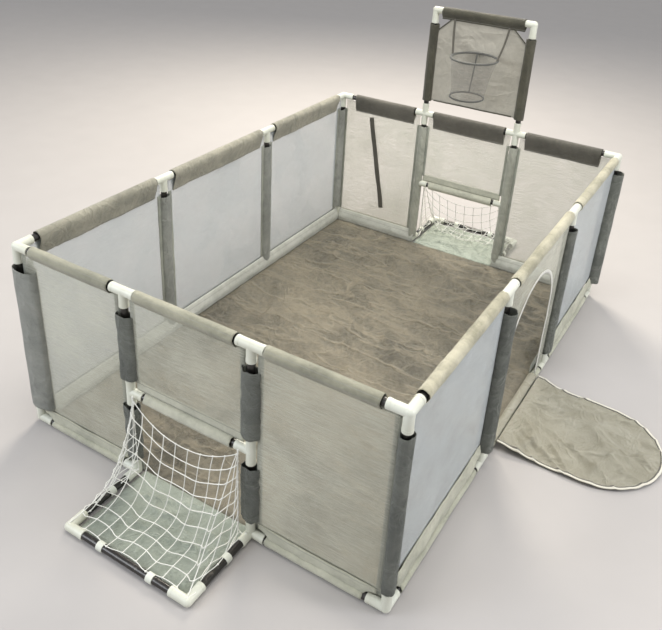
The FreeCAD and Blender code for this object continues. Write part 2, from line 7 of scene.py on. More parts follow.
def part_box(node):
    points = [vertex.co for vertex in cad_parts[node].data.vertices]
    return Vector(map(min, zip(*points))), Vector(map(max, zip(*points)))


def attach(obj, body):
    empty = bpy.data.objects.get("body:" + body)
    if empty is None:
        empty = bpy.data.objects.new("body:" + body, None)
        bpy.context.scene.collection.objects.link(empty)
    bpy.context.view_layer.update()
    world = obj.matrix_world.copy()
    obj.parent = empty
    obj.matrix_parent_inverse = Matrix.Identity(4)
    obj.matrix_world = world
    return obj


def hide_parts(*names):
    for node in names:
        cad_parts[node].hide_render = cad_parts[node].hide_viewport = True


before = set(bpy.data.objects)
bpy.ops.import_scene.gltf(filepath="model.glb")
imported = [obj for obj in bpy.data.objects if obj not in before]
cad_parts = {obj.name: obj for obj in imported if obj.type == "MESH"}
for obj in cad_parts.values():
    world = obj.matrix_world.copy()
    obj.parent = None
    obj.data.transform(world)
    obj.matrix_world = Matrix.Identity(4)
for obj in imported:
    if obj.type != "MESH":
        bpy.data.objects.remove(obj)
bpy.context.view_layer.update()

# ----------------------
# Pipe fittings: white moulded plastic, slightly yellowed and scuffed by handling, with a
# soft gloss. They are the corners, tees, crosses and elbows that the tubes plug into.
# ----------------------


def dye(red, green, blue):
    """A colour named by its three screen values, 0 to 255, as the shader's linear numbers."""
    shares = [value / 255 for value in (red, green, blue)]
    return (*[s / 12.92 if s < 0.04 else ((s + 0.055) / 1.055) ** 2.4 for s in shares], 1.0)


class Strand:
    """A number that varies over a surface; arithmetic on it adds the maths to its finish."""

    def __init__(self, finish, socket):
        self.finish = finish
        self.socket = socket

    def maths(self, operation, first, second=None):
        values = {0: first} if second is None else {0: first, 1: second}
        return self.finish.node("Math", {"operation": operation}, values)

    def __add__(self, other):
        return self.maths("ADD", self, other)

    def __radd__(self, other):
        return self.maths("ADD", other, self)

    def __sub__(self, other):
        return self.maths("SUBTRACT", self, other)

    def __rsub__(self, other):
        return self.maths("SUBTRACT", other, self)

    def __mul__(self, other):
        return self.maths("MULTIPLY", self, other)

    def __rmul__(self, other):
        return self.maths("MULTIPLY", other, self)

    def __truediv__(self, other):
        return self.maths("DIVIDE", self, other)

    def __lt__(self, other):
        return self.maths("LESS_THAN", self, other)

    def __abs__(self):
        return self.maths("ABSOLUTE", self)

    def sine(self):
        return self.maths("SINE", self)

    def part(self):
        return self.maths("FRACT", self)


class Finish:
    """A material under construction: its shader, and one way to add any node."""

    def __init__(self, name, **sockets):
        self.material = bpy.data.materials.new(name)
        self.material.use_nodes = True
        self.tree = self.material.node_tree
        self.shader = self.tree.nodes["Principled BSDF"]
        self.feed(**sockets)

    def node(self, kind, settings, sockets, result=0):
        item = self.tree.nodes.new("ShaderNode" + kind)
        for key, value in settings.items():
            if key == "stops":
                ramp = item.color_ramp
                for stop, (place, colour) in zip((ramp.elements[0], ramp.elements[1]), value[:2]):
                    stop.position = place
                    stop.color = colour
                for place, colour in value[2:]:
                    ramp.elements.new(place).color = colour
            else:
                setattr(item, key, value)
        for key, value in sockets.items():
            self.join(item.inputs[key], value)
        return Strand(self, item.outputs[result])

    def join(self, socket, value):
        if isinstance(value, Strand):
            self.tree.links.new(value.socket, socket)
        else:
            socket.default_value = value

    def feed(self, **sockets):
        for name, value in sockets.items():
            self.join(self.shader.inputs[name.replace("_", " ")], value)

    def place(self):
        return self.node("TexCoord", {}, {}, 3)

    def cut(self):
        return self.node("UVMap", {"uv_map": "cut"}, {})

    def threads(self, cut):
        """How far along and across the uncut cloth each point lies, in metres."""
        parts = self.node("SeparateXYZ", {}, {0: cut})
        return parts, Strand(self, parts.socket.node.outputs[1])

    def stretched(self, vector, scale):
        return self.node("Mapping", {}, {"Vector": vector, "Scale": scale})

    def cloud(self, vector, scale, detail=3.0, rough=0.5, warp=0.0):
        values = {"Vector": vector, "Scale": scale, "Detail": detail}
        values.update(Roughness=rough, Distortion=warp)
        return self.node("TexNoise", {}, values)

    def creases(self, vector, scale, warp=0.4):
        """Thin sharp lines, 1 along each line and falling to 0 between them."""
        swirl = self.cloud(vector, scale, 3.0, 0.5, warp)
        return self.ramp(abs(swirl - 0.5), (0.0, WHITE), (0.05, BLACK))

    def blend(self, amount, first, second):
        kind = {"data_type": "RGBA", "clamp_factor": True}
        return self.node("Mix", kind, {0: amount, 6: first, 7: second}, 2)

    def ramp(self, value, *stops):
        return self.node("ValToRGB", {"stops": stops}, {"Fac": value})

    def relief(self, height, depth, strength=1.0):
        """Bumps of the given depth in metres where height goes from 0 to 1."""
        values = {"Height": height, "Distance": depth, "Strength": strength}
        self.feed(Normal=self.node("Bump", {}, values))


BLACK, WHITE = (0, 0, 0, 1), (1, 1, 1, 1)


def moulded_white(name, clean, worn, gloss):
    finish = Finish(name, Specular_IOR_Level=0.45)
    place = finish.place()
    tint = finish.cloud(place, 9.0, 4.0)
    scuffs = finish.ramp(finish.cloud(place, 160.0, 5.0, 0.7, 0.6), (0.60, BLACK), (0.74, WHITE))
    scratch = finish.cloud(finish.stretched(place, (340, 60, 340)), 1.0, 3.0, 0.6)
    colour = finish.blend(finish.ramp(tint, (0.35, BLACK), (0.7, WHITE)), clean, worn)
    colour = finish.blend(scuffs * 0.28, colour, dye(176, 172, 160))
    finish.feed(Base_Color=colour, Roughness=gloss + tint * 0.16 + scuffs * 0.22)
    finish.relief(tint * 0.35 + scratch * 0.25 + scuffs * 0.4, 0.00035, 0.5)
    return finish.material


fitting_white = moulded_white("fitting_white", dye(218, 220, 208), dye(204, 204, 188), 0.26)
FITTINGS = [
    name
    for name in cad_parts
    if name.startswith(("top_corner", "bottom_corner"))
    or name.endswith(("tees", "crosses", "feet", "elbows"))
]


def finish_parts(names, material):
    for name in names:
        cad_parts[name].data.materials.clear()
        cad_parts[name].data.materials.append(material)


finish_parts(FITTINGS, fitting_white)

# Net clips: the same white plastic, duller, snapped over the goals' floor tubes.
clip_white = moulded_white("clip_white", dye(222, 224, 214), dye(208, 210, 196), 0.42)
finish_parts(("front_net_clips", "back_net_clips"), clip_white)

# ----------------------
# Tubes: thin steel with a dark glossy coat, worn a little where they slide into fittings.
# Their axes give the places for everything that is sewn round them.
# ----------------------
coat = Finish("tube_coat", Metallic=0.85, Coat_Weight=0.4, Coat_Roughness=0.15)
place = coat.place()
brush = coat.cloud(coat.stretched(place, (220, 220, 220)), 1.0, 4.0, 0.7)
wear = coat.ramp(coat.cloud(place, 60.0, 4.0, 0.65), (0.56, BLACK), (0.72, WHITE))
coat.feed(
    Base_Color=coat.blend(wear * 0.5, dye(58, 56, 54), dye(120, 116, 110)),
    Roughness=0.24 + brush * 0.16 + wear * 0.15,
)
coat.relief(brush, 0.00008)
TUBES = [
    name
    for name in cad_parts
    if name.endswith(("rails", "_posts", "crossbar", "goal_tubes", "uprights", "top_tube"))
]
finish_parts(TUBES, coat.material)


def middle(node):
    low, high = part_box(node)
    return (low + high) / 2


tube_r = (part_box("front_crossbar")[1].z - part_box("front_crossbar")[0].z) / 2
top_z = middle("front_top_rails").z
low_z = middle("left_bottom_rails").z
bar_z = middle("front_crossbar").z
board_z = middle("backboard_top_tube").z
side_x = middle("right_top_rails").x
end_y = middle("back_top_rails").y
goal_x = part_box("backboard_uprights")[1].x - tube_r
post_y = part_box("side_posts")[1].y - tube_r
goal_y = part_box("back_goal_tubes")[1].y - tube_r
corner_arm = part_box("top_corner_front_left")[1].x + side_x
tee_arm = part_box("front_top_tees")[1].x - goal_x

# ----------------------
# Rail sleeves: coated oxford cloth sewn into tubes that the rails slide through. They fit
# closely, with a pinched seam underneath, and stop short of the fittings.
# ----------------------
UP = Vector((0, 0, 1))


def lumps(x, y, z):
    """A smooth uneven value between about -1 and 1 that cloth folds are built from."""
    return noise.noise(Vector((x, y, z)))


def woven(name, shade, light, thread=0.0011, seams=(), sheen=0.25, mottle=0.5, rough=0.62,
        crumple=0.3, size=8.0, depth=0.0024, grain=(0.8, 1.25, 1), spread=7.0):
    """Plain-woven cloth: crossing threads, uneven tone, sharp creases of a size and depth,
    soft dents between them, and rows of stitches. The creases are also painted lighter along
    their lines, a painted highlight."""
    finish = Finish(name, Sheen_Weight=sheen, Sheen_Roughness=0.45, Specular_IOR_Level=0.35)
    place, cut = finish.place(), finish.cut()
    parts, across = finish.threads(cut)
    turns = 2 * math.pi / thread
    weave = (parts * turns).sine() * (across * turns).sine()
    cloudy = finish.cloud(place, spread, 4.0, 0.6, 0.4)
    dented = finish.cloud(place, 38.0, 5.0, 0.62, 1.2)
    lines = finish.creases(finish.stretched(place, grain), size)
    lines = lines + finish.creases(finish.stretched(place, (2.1, 1.5, 1.8)), size, 1.0) * 0.5
    slub = finish.cloud(finish.stretched(cut, (60, 900, 1)), 1.0, 2.0)
    uneven = cloudy * 0.7 + dented * 0.3
    amount = finish.ramp(uneven, (0.5 - mottle * 0.3, BLACK), (0.5 + mottle * 0.3, WHITE))
    colour = finish.blend(amount, shade, light)
    # Painted highlight: each crease line is painted lighter, toward the light colour.
    colour = finish.blend(lines * crumple * 0.5, colour, light)
    colour = finish.blend(slub * 0.18 + weave * 0.06, colour, light)
    height = weave * 0.10 + dented * 0.5 + slub * 0.1 + lines * crumple
    for seam in seams:
        row = abs(across - seam) < 0.0009
        dash = (parts / 0.0042).part() < 0.68
        stitch = row * dash
        colour = finish.blend(row * 0.45, colour, BLACK)
        colour = finish.blend(stitch * 0.6, colour, dye(196, 194, 182))
        height = height - row * 0.5 + stitch * 0.6
    finish.feed(Base_Color=colour, Roughness=rough + dented * 0.16)
    finish.relief(height, depth, 0.9)
    return finish.material


cloth_thick = 0.0012


def placed(name, data):
    """A new object in the scene at the origin."""
    item = bpy.data.objects.new(name, data)
    bpy.context.collection.objects.link(item)
    return item


def sew(name, strips, finish, slot, stands_for=(), held="stretched", thick=cloth_thick,
        body="frame", pattern=None, **facts):
    """One sewn piece. Each strip is a grid of cells with its cut size in metres, laid in
    place by a function of its two shares, 0 to 1, along and across. A pattern gives the
    place on the uncut cloth of each laid point, for pieces that aren't rectangles."""
    shape = bmesh.new()
    cut = shape.loops.layers.uv.new("cut")
    for cells, size, lay in strips:
        grid = bmesh.ops.create_grid(
            shape, x_segments=cells[0], y_segments=cells[1], size=0.5, calc_uvs=True
        )
        faces = {face for vert in grid["verts"] for face in vert.link_faces}
        for face in faces:
            face.smooth = True
            for loop in face.loops:
                share = (loop.vert.co.x + 0.5, loop.vert.co.y + 0.5)
                loop[cut].uv = (share[0] * size[0], share[1] * size[1])
        for vert in grid["verts"]:
            vert.co = lay(vert.co.x + 0.5, vert.co.y + 0.5)
            for loop in vert.link_loops:
                loop[cut].uv = pattern(vert.co) if pattern else loop[cut].uv
    bmesh.ops.remove_doubles(shape, verts=shape.verts, dist=0.00002)
    bmesh.ops.recalc_face_normals(shape, faces=shape.faces)
    mesh = bpy.data.meshes.new(name)
    shape.to_mesh(mesh)
    shape.free()
    mesh.materials.append(finish)
    piece = placed(name, mesh)
    wall = piece.modifiers.new("cloth", "SOLIDIFY")
    wall.thickness = thick
    wall.offset = 0
    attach(piece, body)
    if stands_for:
        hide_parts(*stands_for)
    area = sum(size[0] * size[1] for _, size, _ in strips)
    wide = max(min(size) for _, size, _ in strips)
    flat = (wide, area / wide)
    facts = {"flat": flat, "area": area, **facts}
    return piece


def sew_cover(wall, name, strips, finish):
    """One sewn piece of a wall's oxford cover."""
    sew(f"{wall}_{name}", strips, finish, "grey_oxford", [f"{wall}_wall_cover"])


def tubular(start, along, across, length, wide, deep, folds, pinch=0.0, seed=0.0, ragged=0.0):
    """Lays a strip round a tube: a flattened ring with folds, and a pinched seam below."""
    third = along.cross(across)

    def lay(u, v):
        angle = 2 * math.pi * v
        c, s = math.cos(angle), math.sin(angle)
        run = u * length
        swell = folds(run, c, s, seed)
        ring = across * (c * (wide + swell)) + third * (s * (deep + swell))
        below = max(0.0, -(ring.normalized().z)) ** 10 * pinch
        end = ragged * lumps(c * 1.3, s * 1.3, seed + round(u) * 9)
        return start + along * (run + end * (2 * u - 1)) + ring - UP * below

    return lay


def snug(run, c, s, seed):
    """Small lengthwise ripples of a sleeve that fits its rail."""
    ripple = lumps(run * 9, c * 1.6, s * 1.6 + seed)
    pucker = lumps(run * 45, c * 2.5, s * 2.5 + seed)
    return 0.0014 * ripple + 0.0006 * pucker


oxford_light = woven("oxford_light", dye(120, 120, 104), dye(174, 171, 150),
    seams=(0.006, 0.0985), size=14.0, rough=0.45)
oxford_warm = woven("oxford_warm", dye(142, 138, 114), dye(200, 194, 170), seams=(0.006,),
    mottle=0.35, size=16.0, rough=0.45)
sleeve_r = 0.0163
seam_pinch = 0.009
bare = 0.011
WALLS = {
    "front": (Vector((1, 0, 0)), Vector((0, -1, 0)), -end_y, (-1.5, -0.5, 0.5), 2 * goal_x),
    "back": (Vector((1, 0, 0)), Vector((0, 1, 0)), end_y, (-1.5, -0.5, 0.5), 2 * goal_x),
    "left": (Vector((0, 1, 0)), Vector((-1, 0, 0)), -side_x, (-1.5, -0.5, 0.5), 2 * post_y),
    "right": (Vector((0, 1, 0)), Vector((1, 0, 0)), side_x, (-1.5, -0.5, 0.5), 2 * post_y),
}


def on_wall(wall, run, height, out=0.0):
    """A point on a wall's plane: run along it, height above the floor, out from it."""
    along, outward, offset, _, _ = WALLS[wall]
    return along * run + outward * (abs(offset) + out) + UP * height


def bays(wall):
    """Each bay of a wall: its number, where it begins, its width and its two end arms."""
    _, _, _, starts, width = WALLS[wall]
    arms = ((corner_arm, tee_arm), (tee_arm, tee_arm), (tee_arm, corner_arm))
    return [
        (number, start * width, width, arm)
        for number, (start, arm) in enumerate(zip(starts, arms))
    ]


def sleeve(wall, first, length, height, radius, cells, pinch, seed, ragged, spare=0.0):
    """A snug tube of cloth round a wall's rail, with spare width for a pinched seam."""
    along, outward = WALLS[wall][:2]
    start = on_wall(wall, first, height)
    lay = tubular(start, along, outward, length, radius, radius, snug, pinch, seed, ragged)
    return cells, (length, 2 * math.pi * radius + spare), lay


for wall, cloth in (("front", oxford_light), ("right", oxford_warm)):
    strips = []
    for number, begin, width, (first, last) in bays(wall):
        first += bare if number == 0 else 0.003
        last += bare if number == 2 else 0.005
        length = width - first - last
        cells = (int(length / 0.006), 32)
        seed = number * 5.1 + width
        strips.append(
            sleeve(wall, begin + first, length, top_z, sleeve_r, cells, 0.008, seed, 0.002,
                seam_pinch)
        )
    sew_cover(wall, "rail_sleeves", strips, cloth)

# ----------------------
# Rail pockets: on the left and back walls the sleeve is cut wider. It rides over the rail
# and hangs below it as a flat double band with diagonal drag lines.
# ----------------------


def pocket(wall, first, last, height, drop, seed):
    """Lays a strip over a rail and down both sides of it, to a flat foot."""
    length = last - first
    arch = math.pi * sleeve_r
    around = arch + 2 * drop

    def lay(u, v):
        run, walk = first + u * length, v * around
        if walk < drop:
            out, up = -sleeve_r, walk - drop
        elif walk > drop + arch:
            out, up = sleeve_r, drop + arch - walk
        else:
            angle = (walk - drop) / sleeve_r
            out, up = -sleeve_r * math.cos(angle), sleeve_r * math.sin(angle)
        below = max(0.0, -up) / drop
        out *= 1 - 0.85 * below * below * (3 - 2 * below)
        drag = lumps(run * 10 + up * 16, up * 14 - run * 3, seed)
        crease = abs(lumps(run * 26 - up * 34, up * 26, seed + 3))
        out += (0.0032 * drag + 0.004 * (0.2 - crease)) * math.sqrt(below)
        end = 0.004 * lumps(up * 30, seed, round(u) * 5)
        return on_wall(wall, run + end * (2 * u - 1), height + up + 0.0006 * drag, out)

    return (int(length / 0.006), 44), (length, around), lay


# One pocket cloth in two copies: the left wall's is painted lighter for its lit inside, and the
# back wall's is painted dark as painted shade.
pocket_painted_lit = woven("pocket_painted_lit", dye(128, 126, 112), dye(182, 177, 158), seams=(0.004, 0.167),
    size=9.0, crumple=0.8, depth=0.005)
pocket_painted_shade = woven("pocket_painted_shade", dye(70, 68, 60), dye(102, 98, 88), seams=(0.004, 0.167),
    size=15.0, crumple=0.5)
for wall, cloth in (("left", pocket_painted_lit), ("back", pocket_painted_shade)):
    strips = []
    for number, begin, width, (first, last) in bays(wall):
        first += 0.020 if number == 0 else 0.004
        last += bare if number == 2 else 0.006
        strips.append(pocket(wall, begin + first, begin + width - last, top_z, 0.060,
            number * 4.0 + width))
    sew_cover(wall, "rail_pockets", strips, cloth)

# ----------------------
# Post sleeves: wider, looser tubes of the same cloth, darker on the shaded uprights. Their
# seam allowance stands out as a flat edge where the mesh is sewn in, and their ends gape.
# ----------------------
def hanging(run, c, s, seed):
    """Long upright folds of a loose sleeve, with a few slack creases across."""
    fold = lumps(run * 3.5, c * 1.9 + seed, s * 1.9)
    slack = lumps(run * 16 + c * 1.5, seed, s * 1.2)
    return 0.0024 * fold + 0.0012 * slack


def rumpled(run, c, s, seed):
    """Close creases across a short sleeve that has slid down its post."""
    fold = lumps(run * 7, c * 1.7 + seed, s * 1.7)
    crease = abs(lumps(run * 30 + c * 1.2, seed * 2, s * 0.9))
    fine = lumps(run * 85, c * 1.4, s + seed)
    return 0.0026 * fold + 0.0068 * (0.35 - crease) + 0.0008 * fine


# oxford_dark and oxford_mid are one cloth: oxford_dark is painted shade for the shaded uprights,
# and oxford_mid is painted lighter for the lit inside of the left wall.
oxford_dark = woven("oxford_dark", dye(70, 75, 69), dye(140, 143, 132), seams=(0.004,),
    mottle=0.7, size=9.0, crumple=1.0, depth=0.009)
oxford_mid = woven("oxford_mid", dye(112, 115, 109), dye(172, 173, 164), seams=(0.004,),
    mottle=0.6, size=9.0, crumple=0.8, depth=0.006)
oxford_grey = woven("oxford_grey", dye(138, 140, 128), dye(180, 180, 166), seams=(0.004,),
    mottle=0.6, size=13.0, crumple=0.5)


bunched = 1.08


def upright(place, along, low, high, wide, deep, folds, seed):
    """A sleeve round a post at a place, flattened to be wide along one way."""
    start = Vector((place.x, place.y, low))
    lay = tubular(start, UP, along, high - low, wide, deep, folds, 0, seed, 0.005)
    cut = (high - low) * (bunched if folds is rumpled else 1.0)
    return (max(12, int((high - low) / 0.005)), 36), (cut, math.pi * (wide + deep)), lay


stem = 0.048
shoulder = top_z - stem - 0.018
SIDEWAYS, LENGTHWAYS = Vector((1, 0, 0)), Vector((0, 1, 0))
CORNERS = {
    (-1, -1): (SIDEWAYS, 0.046, 0.0235),
    (1, -1): (LENGTHWAYS, 0.022, 0.0172),
    (-1, 1): (LENGTHWAYS, 0.030, 0.0180),
    (1, 1): (LENGTHWAYS, 0.026, 0.0300),
}
for wall, sign, foot in (("left", -1, 0.030), ("right", 1, low_z + stem + 0.012)):
    strips = []
    for end, deep in ((-1, 0.0255), (1, 0.0205)):
        bulk = deep if wall == "right" else 0.0165
        place = Vector((sign * (side_x + bulk - 0.0165), end * post_y, 0))
        strips.append(upright(place, LENGTHWAYS, foot, shoulder, 0.0235, bulk, hanging,
            end * 3.0 + sign))
        way, wide, bulk = CORNERS[sign, end]
        inward = 0.0185 - wide
        if way == SIDEWAYS:
            place = Vector((sign * (side_x + inward), end * (end_y + 0.004), 0))
        else:
            place = Vector((sign * (side_x + (bulk - 0.0165) * 0.5), end * (end_y + inward), 0))
        span = (low_z + corner_arm + 0.008, top_z - corner_arm - 0.010)
        strips.append(upright(place, way, *span, wide, bulk, hanging, end * 5.0 + sign * 2))
    cloth = oxford_mid if wall == "left" else oxford_dark
    sew_cover(wall, "post_sleeves", strips, cloth)
goal_spans = ((low_z + stem + 0.008, bar_z - tee_arm - 0.008),
    (bar_z + tee_arm + 0.008, top_z - stem - 0.024))
for wall, sign, spans, cloth in (
    ("front", -1, goal_spans, oxford_dark),
    ("back", 1, ((0.030, top_z - stem - 0.012),), oxford_grey),
):
    strips = []
    for side in (-1, 1):
        place = Vector((side * goal_x, sign * (end_y + 0.001), 0))
        for number, (low, high) in enumerate(spans):
            wide = 0.0262 if wall == "front" else 0.0172
            strips.append(upright(place, SIDEWAYS, low, high, wide, 0.0168, rumpled,
                side * 4.0 + number * 2.5 + sign))
    sew_cover(wall, "goal_post_sleeves", strips, cloth)

# ----------------------
# Crossbar sleeves: the goal's bar has its own snug sleeve, and a flat band above it that
# the mesh is sewn to.
# ----------------------


def flat_strip(wall, first, last, low, high, out, wave, seed, cell=0.008):
    """A flat strip on a wall's plane, out from it, with soft waves of the given depth."""
    length, height = last - first, high - low

    def lay(u, v):
        run, rise = first + u * length, low + v * height
        free = math.sin(math.pi * v) * 0.7 + 0.3
        ripple = lumps(run * 11, rise * 20, seed)
        pucker = lumps(run * 34 + rise * 22, rise * 30, seed + 4)
        return on_wall(wall, run, rise, out + free * wave * (ripple + 0.35 * pucker))

    cells = (max(4, int(length / cell)), max(4, int(height / cell)))
    return cells, (length, height), lay


oxford_band = woven("oxford_band", dye(172, 172, 156), dye(212, 211, 192), seams=(0.004, 0.0265),
    size=14.0)
for wall in ("front", "back"):
    length = 2 * (goal_x - stem - bare)
    cells = (int(length / 0.006), 32)
    strips = [sleeve(wall, -length / 2, length, bar_z, sleeve_r, cells, 0.003, 33.0, 0.003)]
    half = goal_x - 0.024
    strips.append(flat_strip(wall, -half, half, bar_z + sleeve_r - 0.001,
        bar_z + sleeve_r + 0.031, -0.002, 0.002, 7.0))
    sew_cover(wall, "crossbar_sleeve", strips, oxford_band)

# ----------------------
# Edge bands: narrow flat strips of oxford cloth between the mesh and the sleeves, down each
# post and under the rails that have no deep pocket.
# ----------------------
post_wide = 0.0235
HEM_TOPS = {"front": 0.064, "back": 0.064, "left": 0.064, "right": 0.104}
band_light = woven("band_light", dye(122, 126, 116), dye(164, 166, 152), seams=(0.004,))
for wall in WALLS:
    strips = []
    for number, begin, width, _ in bays(wall):
        goal_bay = number == 1 and wall in ("front", "back")
        foot = bar_z + 0.04 if goal_bay else HEM_TOPS[wall]
        end = 0.030 if wall in ("left", "right") else 0.016
        insets = (end if number == 0 else 0.019, end if number == 2 else 0.019)
        strip = 0.011 if wall == "back" else 0.017
        near, far = begin + insets[0], begin + width - insets[1]
        seed = number * 3.0 + width
        if wall in ("front", "right"):
            strips.append(flat_strip(wall, near, far, top_z - 0.026, top_z - 0.014, -0.004,
                0.0012, seed, 0.006))
        top = top_z - 0.024 if wall in ("front", "right") else top_z - 0.058
        strips.append(flat_strip(wall, near, near + strip, foot, top, -0.002, 0.0016, seed,
            0.006))
        strips.append(flat_strip(wall, far - strip, far, foot, top, -0.002, 0.0016, seed + 1,
            0.006))
    sew_cover(wall, "edge_bands", strips, band_light)

# ----------------------
# Hems: under the mesh each wall has a sleeve round its lower rail and a band above it. The
# band is cut away at its ends to clear the fittings.
# ----------------------
oxford_hem = woven("oxford_hem", dye(160, 161, 143), dye(208, 207, 187), seams=(0.030,),
    mottle=0.6, crumple=0.6, size=10.0)
hem_r = 0.0132


def hem_strip(wall, first, last, seed, slack):
    """The band over a lower rail, with a rounded notch at each end over the fittings."""
    length = last - first
    notch = 0.034
    top = HEM_TOPS[wall]

    def lay(u, v):
        run = first + u * length
        near = min(run - first, last - run)
        lift = math.sqrt(max(0.0, 1 - min(1.0, near / notch) ** 2)) * 0.021
        low = low_z + hem_r - 0.002 + lift
        rise = low + v * (top - low)
        ripple = lumps(run * 12, rise * 24, seed)
        pucker = lumps(run * 40 + rise * 30, seed, rise * 30)
        swell = slack * math.sin(math.pi * v) * (1 + ripple)
        return on_wall(wall, run, rise, 0.004 + swell + 0.0022 * ripple + 0.0014 * pucker)

    return (int(length / 0.007), 10), (length, top - low_z - hem_r), lay


for wall in WALLS:
    strips = []
    for number, begin, width, (first, last) in bays(wall):
        if number == 1 and wall in ("front", "back"):
            continue
        length = width - first - last - 2 * bare
        cells, start = (int(length / 0.008), 28), begin + first + bare
        seed = number * 4.0 + 9
        strips.append(sleeve(wall, start, length, low_z, hem_r, cells, 0, seed, 0.003))
        if not (number == 1 and wall == "right"):
            slack = 0.006 if wall == "right" else 0.001
            strips.append(hem_strip(wall, begin + 0.028, begin + width - 0.028,
                number * 6.0 + width, slack))
    sew_cover(wall, "hems", strips, oxford_hem)

# ----------------------
# Skirts: inside the pen the floor cloth is turned up and sewn to the foot of each wall, so
# a pale strip with two rows of stitches hides the lower fittings.
# ----------------------
skirt_pale = woven("skirt_pale", dye(172, 174, 162), dye(214, 214, 204), seams=(0.016, 0.047),
    mottle=0.5, crumple=0.5, size=11.0)


def skirt(wall, first, last, seed):
    """A strip that stands on the floor inside the lower rail and leans out to the mesh."""
    length, top = last - first, HEM_TOPS[wall]

    def lay(u, v):
        run = first + u * length
        ripple = lumps(run * 10, v * 1.5, seed)
        pucker = lumps(run * 44, v * 4, seed + 2)
        lean = -0.0168 + 0.013 * max(0.0, v - 0.45) / 0.55
        slack = math.sin(math.pi * v)
        droop = slack * (0.002 + 0.002 * ripple + 0.001 * pucker)
        return on_wall(wall, run, 0.0024 + v * (top - 0.003), lean - droop)

    return (int(length / 0.008), 9), (length, top), lay


for wall in WALLS:
    reach = (end_y if wall in ("left", "right") else side_x) - 0.018
    gap = {"left": 0.0, "right": 0.222, "front": goal_x - 0.012, "back": goal_x - 0.012}[wall]
    spans = ((-reach, reach),) if gap == 0 else ((-reach, -gap), (gap, reach))
    strips = [
        skirt(wall, first, last, index * 4.0 + reach)
        for index, (first, last) in enumerate(spans)
    ]
    sew(f"{wall}_skirt", strips, skirt_pale, "mat_cloth", ["floor_mat"])

# ----------------------
# Mesh: fine knitted polyester, half open, stretched between sleeves and hems. It billows
# slightly, and rows of its loops show as faint level streaks.
# ----------------------


mesh_thick = 0.0006


def knitted(name, yarn, shaded, least, most, pitch=0.0019, streaks=0.3):
    finish = Finish(name, Sheen_Weight=0.3, Specular_IOR_Level=0.25)
    place, cut = finish.place(), finish.cut()
    parts, across = finish.threads(cut)
    turn = math.pi / pitch
    rising, falling = parts * turn + across * turn * 0.58, parts * turn - across * turn * 0.58
    loops = abs(rising.sine()) * abs(falling.sine())
    streak = finish.cloud(finish.stretched(cut, (14, 250, 1)), 1.0, 4.0, 0.66)
    cloudy = finish.cloud(place, 6.0, 4.0, 0.6, 0.5)
    solid = 1 - finish.ramp(loops, (0.18, BLACK), (0.62, WHITE))
    veil = least + solid * (most - least) + (streak - 0.5) * streaks + (cloudy - 0.5) * 0.42
    finish.feed(
        Base_Color=finish.blend(streak * 0.5 + cloudy * 0.5, shaded, yarn),
        Roughness=0.7 + solid * 0.1,
        Alpha=veil,
    )
    finish.relief(solid + streak * 0.5, 0.0006, 0.6)
    return finish.material


mesh_grey = knitted("mesh_grey", dye(232, 231, 216), dye(174, 174, 158), 0.17, 0.56, streaks=0.75)
# mesh_pale is the same mesh with its yarn painted paler and bluer on the side walls, a painted
# skylight tint.
mesh_pale = knitted("mesh_pale", dye(216, 221, 222), dye(180, 186, 188), 0.32, 0.68, streaks=0.3)


def mesh_panel(wall, first, last, low, high, seed):
    """A stretched mesh panel that billows a little and pulls in at its corners."""
    length, height = last - first, high - low

    def lay(u, v):
        run, rise = first + u * length, low + v * height
        held = math.sin(math.pi * u) * math.sin(math.pi * v)
        billow = lumps(run * 3, rise * 3, seed) * 0.9 + 0.35
        tug = lumps(run * 14 + rise * 9, rise * 5, seed + 7)
        return on_wall(wall, run, rise, 0.007 * held * billow + 0.0012 * held * tug)

    return (max(8, int(length / 0.014)), max(8, int(height / 0.014))), (length, height), lay


for wall in WALLS:
    strips = []
    for number, begin, width, _ in bays(wall):
        goal_bay = number == 1 and wall in ("front", "back")
        if number == 1 and wall == "right":
            continue
        low = bar_z + sleeve_r + 0.026 if goal_bay else HEM_TOPS[wall] - 0.004
        edge = post_wide - 0.003
        strips.append(mesh_panel(wall, begin + edge, begin + width - edge, low, top_z - sleeve_r,
            number * 8.0 + width))
    cloth = mesh_pale if wall in ("left", "right") else mesh_grey
    sew(f"{wall}_mesh_panels", strips, cloth, "grey_mesh", [f"{wall}_mesh"], thick=mesh_thick)

# ----------------------
# Door panel: mesh sewn into the middle bay of the right wall, cut out to an arch with a
# stiff white zip tape round it.
# ----------------------
arch_half = 0.212
arch_spring = 0.315
sill_z = 0.031
door_tape_wide = 0.013


def arch_point(share, spread=0.0):
    """A point (along the wall, height) on the door's arch, from the front foot over the top
    to the back foot, pushed out from the opening by a spread."""
    leg = arch_spring - sill_z
    bow = math.pi * arch_half
    run = share * (2 * leg + bow)
    reach = arch_half + spread
    if run < leg:
        return -reach, sill_z + run
    if run > leg + bow:
        return reach, arch_spring - (run - leg - bow)
    angle = math.pi - (run - leg) / arch_half
    return reach * math.cos(angle), arch_spring + reach * math.sin(angle)


def panel_edge(share):
    """The point on the panel's straight outer edge that the arch's point faces."""
    half = post_y - post_wide + 0.003
    top = top_z - sleeve_r
    turn_low, turn_high = 0.36, 0.64
    if share < turn_low:
        return -half, sill_z + (top - sill_z) * share / turn_low
    if share > turn_high:
        return half, top - (top - sill_z) * (share - turn_high) / (1 - turn_high)
    return half * (2 * (share - turn_low) / (turn_high - turn_low) - 1), top


def door_lay(u, v):
    inner, outer = arch_point(u), panel_edge(u)
    run = inner[0] + (outer[0] - inner[0]) * v
    rise = inner[1] + (outer[1] - inner[1]) * v
    wave = lumps(run * 8, rise * 8, 2.0)
    return on_wall("right", run, rise, 0.004 * wave * math.sin(math.pi * min(1, v + 0.15)))


